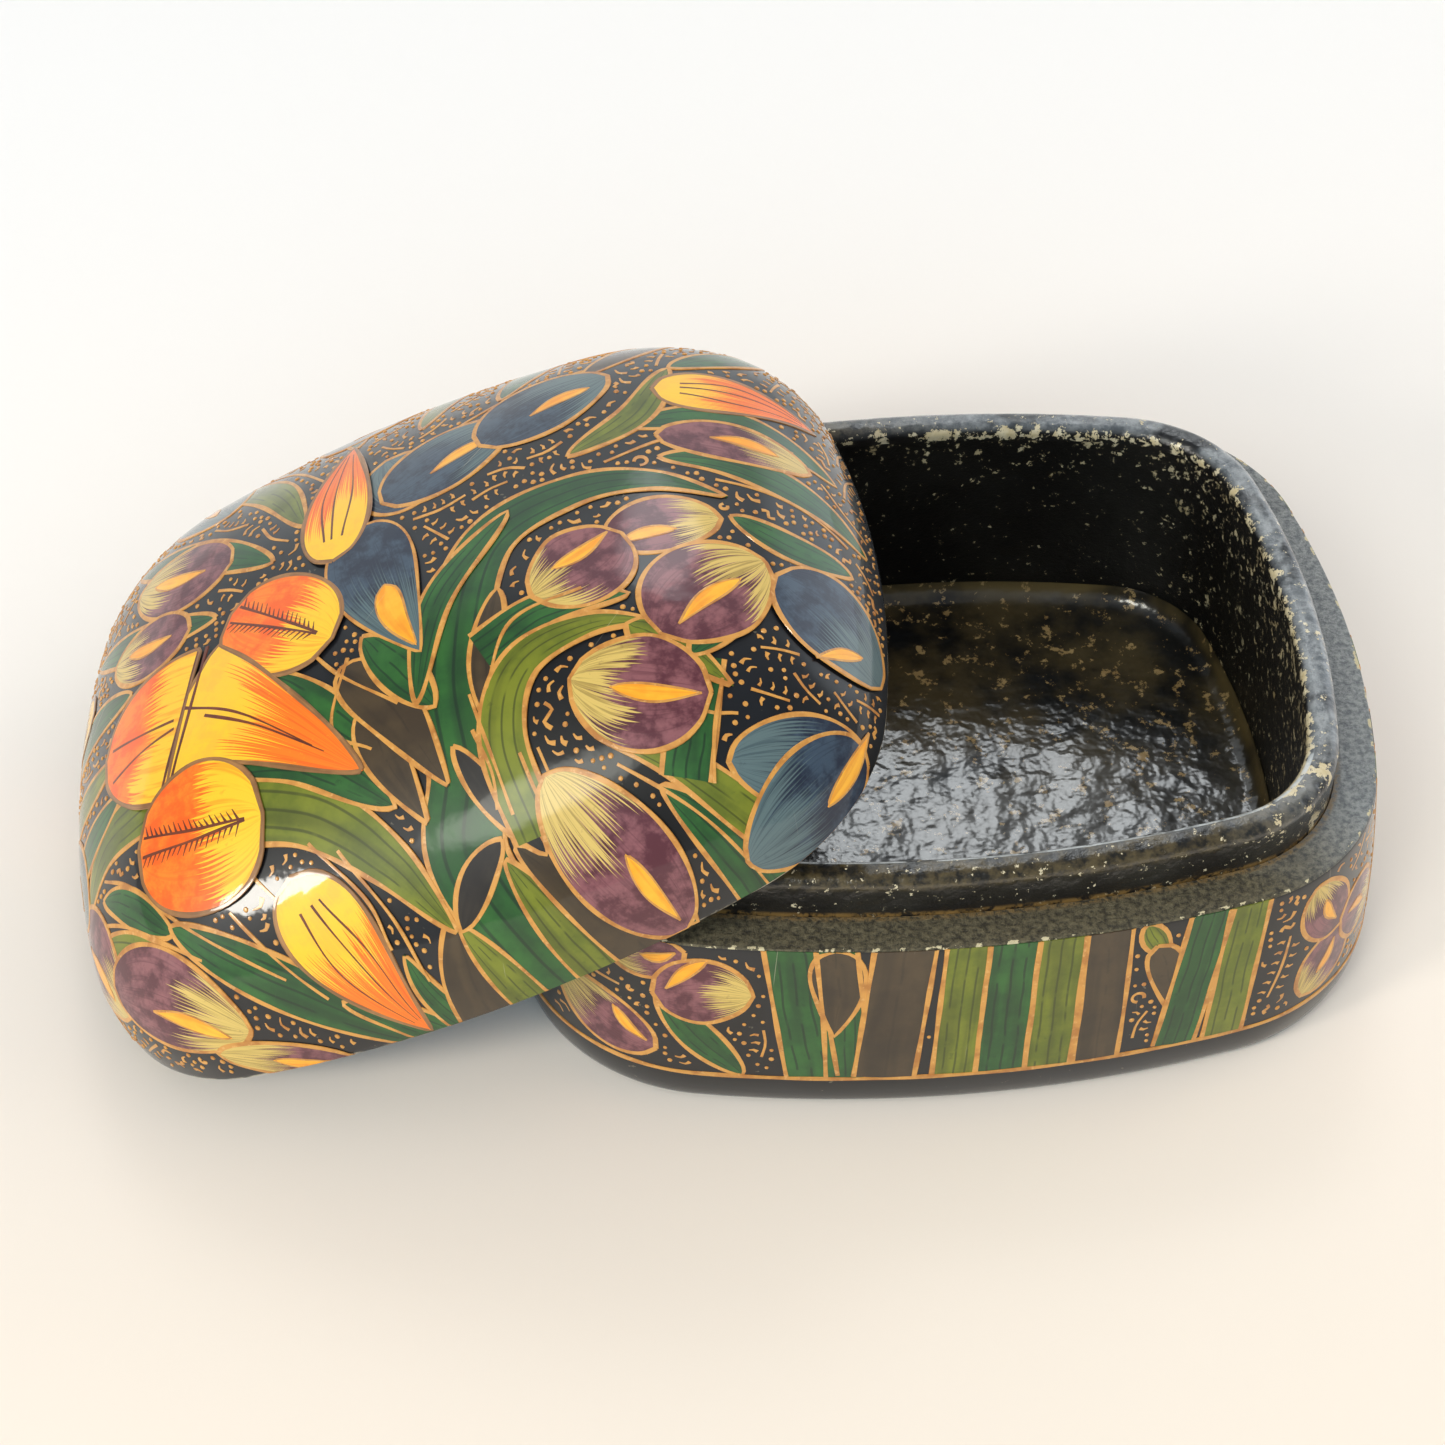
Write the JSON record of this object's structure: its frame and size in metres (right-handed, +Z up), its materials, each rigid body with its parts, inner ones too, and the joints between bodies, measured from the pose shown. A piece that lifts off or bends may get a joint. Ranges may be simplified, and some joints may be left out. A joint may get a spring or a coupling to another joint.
{
  "type": "trinket box",
  "caption": "Small papier-mache trinket box with a rounded oblong plan: a deep domed lift-off lid leans on an open tray base whose raised inner collar locates it when closed.",
  "frame": {"origin": "centre of the flat foot of the base", "axes": "+X along the box's length, away from the leaning lid; +Y towards the back; +Z up"},
  "size_m": [0.1505, 0.0884, 0.0546],
  "materials": {
    "painted_lid": "hand-painted papier-mache under clear gloss lacquer",
    "painted_base": "hand-painted papier-mache under clear gloss lacquer, bare matt ledge",
    "black_lining": "black lacquered paper strip, worn and chipped at its top edge",
    "floor_paper": "black lacquered paper, bumpy and glossy"
  },
  "bodies": {
    "base": {"base_shell": "painted_base", "collar_lining": "black_lining", "floor_sheet": "floor_paper"},
    "lid": {"lid_shell": "painted_lid"}
  },
  "joints": [
    {"name": "lid_lift", "type": "slide", "parent": "base", "child": "lid", "axis": [0.7071, 0, 0.7071], "range_m": [0, 0.072]}
  ]
}
